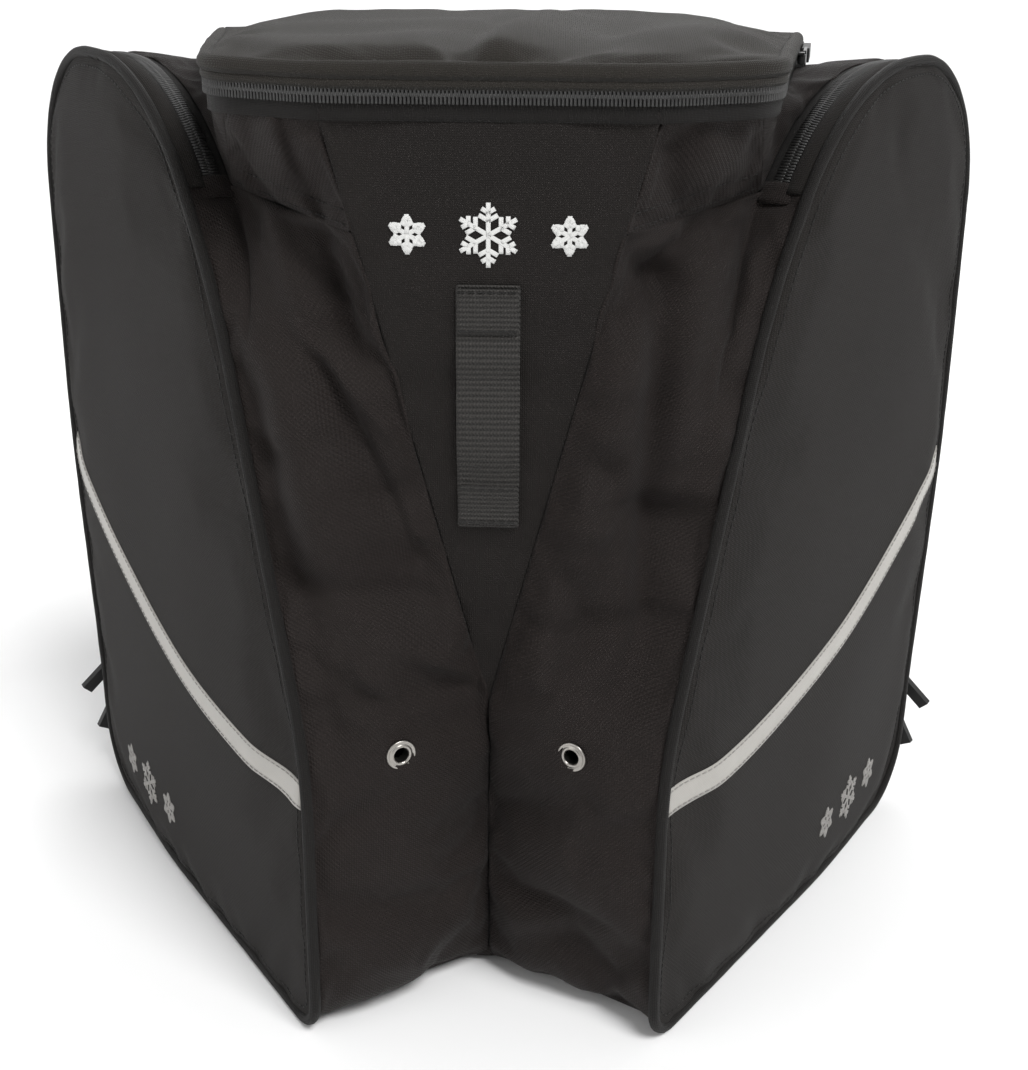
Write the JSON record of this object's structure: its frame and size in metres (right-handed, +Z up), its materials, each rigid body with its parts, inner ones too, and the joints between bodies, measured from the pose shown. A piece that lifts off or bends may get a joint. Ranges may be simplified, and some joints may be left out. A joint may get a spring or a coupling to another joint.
{
  "type": "ski boot bag",
  "caption": "Padded boot backpack with two splayed boot compartments, zipped side flaps, a central compartment under a zipped lid, and back straps.",
  "frame": {"origin": "on the surface the bag stands on, under the middle of its overall box", "axes": "+X to the bag's left-hand side as worn, +Y towards the back panel and straps, +Z up"},
  "size_m": [0.4818, 0.3154, 0.4248],
  "materials": {
    "body_cloth": "black 600 denier polyester, plain weave with a faint diagonal",
    "side_cloth": "charcoal polyester with a smooth face, softly padded",
    "piping_cloth": "black piping over a round cord",
    "base_cloth": "coated black tarpaulin",
    "lining": "grey nylon lining",
    "padded_mesh": "black spacer mesh over foam",
    "webbing": "black ribbed polyester webbing",
    "reflective_tape": "warm grey reflective tape, satin",
    "zip_coil": "black nylon coil on woven tape",
    "nickel": "nickel plated, slightly worn",
    "pull_rubber": "black moulded rubber",
    "buckle_plastic": "black acetal"
  },
  "bodies": {
    "bag": {"back_pad": "padded_mesh", "back_panel": "body_cloth", "boot_floor_left": "base_cloth", "boot_floor_right": "base_cloth", "center_panel": "body_cloth", "divider_left": "lining", "divider_right": "lining", "drain_eyelets": "nickel", "front_gusset_left": "body_cloth", "front_gusset_right": "body_cloth", "front_yoke_left": "body_cloth", "front_yoke_right": "body_cloth", "grab_handle": "webbing", "ladder_locks": "buckle_plastic", "lash_webbing": "webbing", "main_floor": "base_cloth", "rear_gusset_left": "body_cloth", "rear_gusset_right": "body_cloth", "rim_zip": "zip_coil", "shoulder_panel_left": "body_cloth", "shoulder_panel_right": "body_cloth", "shoulder_strap_left": "padded_mesh", "shoulder_strap_right": "padded_mesh", "side_panel_left": "side_cloth", "side_panel_right": "side_cloth", "side_piping_left": "piping_cloth", "side_piping_right": "piping_cloth", "side_stripe_left": "reflective_tape", "side_stripe_right": "reflective_tape", "side_zip_left": "zip_coil", "side_zip_right": "zip_coil", "strap_webbing_left": "webbing", "strap_webbing_right": "webbing"},
    "lid": {"lid_top": "body_cloth", "lid_band": "body_cloth", "lid_zip": "zip_coil"},
    "flap_left": {"side_flap_left": "side_cloth", "flap_piping_left": "piping_cloth", "flap_zip_left": "zip_coil", "flap_stripe_left": "reflective_tape"},
    "upper_slide_left": {"upper_slider_left": "nickel"},
    "upper_pull_left": {"upper_puller_left": "nickel", "upper_pull_tab_left": "pull_rubber"},
    "lower_slide_left": {"lower_slider_left": "nickel"},
    "lower_pull_left": {"lower_puller_left": "nickel", "lower_pull_tab_left": "pull_rubber"},
    "flap_right": {"side_flap_right": "side_cloth", "flap_piping_right": "piping_cloth", "flap_zip_right": "zip_coil", "flap_stripe_right": "reflective_tape"},
    "upper_slide_right": {"upper_slider_right": "nickel"},
    "upper_pull_right": {"upper_puller_right": "nickel", "upper_pull_tab_right": "pull_rubber"},
    "lower_slide_right": {"lower_slider_right": "nickel"},
    "lower_pull_right": {"lower_puller_right": "nickel", "lower_pull_tab_right": "pull_rubber"},
    "lid_slide": {"lid_slider": "nickel"},
    "lid_pull": {"lid_puller": "nickel", "lid_pull_tab": "pull_rubber"}
  },
  "joints": [
    {"name": "lid_hinge", "type": "hinge", "parent": "bag", "child": "lid", "pos_m": [0, 0.12769, 0.4118], "axis": [-1, 0, 0], "range_deg": [0, 100]},
    {"name": "flap_fold_right", "type": "hinge", "parent": "bag", "child": "flap_right", "pos_m": [0.12954, -0.07568, 0.357], "axis": [0.328, 0.4955, -0.8043], "range_deg": [0, 130]},
    {"name": "flap_fold_left", "type": "hinge", "parent": "bag", "child": "flap_left", "pos_m": [-0.12954, -0.07568, 0.357], "axis": [0.328, -0.4955, 0.8043], "range_deg": [0, 130]},
    {"name": "upper_zip_right", "type": "slide", "parent": "bag", "child": "upper_slide_right", "axis": [0, 0, 1], "range_m": [0, 0.225]},
    {"name": "upper_pull_swing_right", "type": "hinge", "parent": "upper_slide_right", "child": "upper_pull_right", "pos_m": [0.21745, 0.08794, 0.097], "axis": [0.8339, -0.5519, 0], "range_deg": [0, 150]},
    {"name": "lower_zip_right", "type": "slide", "parent": "bag", "child": "lower_slide_right", "axis": [0, 0, 1], "range_m": [-0.026, 0]},
    {"name": "lower_pull_swing_right", "type": "hinge", "parent": "lower_slide_right", "child": "lower_pull_right", "pos_m": [0.21745, 0.08794, 0.08], "axis": [0.8339, -0.5519, 0], "range_deg": [0, 150]},
    {"name": "upper_zip_left", "type": "slide", "parent": "bag", "child": "upper_slide_left", "axis": [0, 0, 1], "range_m": [0, 0.225]},
    {"name": "upper_pull_swing_left", "type": "hinge", "parent": "upper_slide_left", "child": "upper_pull_left", "pos_m": [-0.21745, 0.08794, 0.097], "axis": [0.8339, 0.5519, 0], "range_deg": [0, 150]},
    {"name": "lower_zip_left", "type": "slide", "parent": "bag", "child": "lower_slide_left", "axis": [0, 0, 1], "range_m": [-0.026, 0]},
    {"name": "lower_pull_swing_left", "type": "hinge", "parent": "lower_slide_left", "child": "lower_pull_left", "pos_m": [-0.21745, 0.08794, 0.08], "axis": [0.8339, 0.5519, 0], "range_deg": [0, 150]},
    {"name": "lid_zip_travel", "type": "slide", "parent": "bag", "child": "lid_slide", "axis": [0.1607, 0.987, 0], "range_m": [-0.115, 0.008]},
    {"name": "lid_pull_swing", "type": "hinge", "parent": "lid_slide", "child": "lid_pull", "pos_m": [0.13801, 0.04185, 0.4019], "axis": [0, 0, -1], "range_deg": [0, 40]}
  ],
  "couplings": [
    {"joint": "upper_pull_swing_right", "follows": "lower_pull_swing_right", "ratio": 1},
    {"joint": "upper_pull_swing_left", "follows": "lower_pull_swing_left", "ratio": 1}
  ]
}
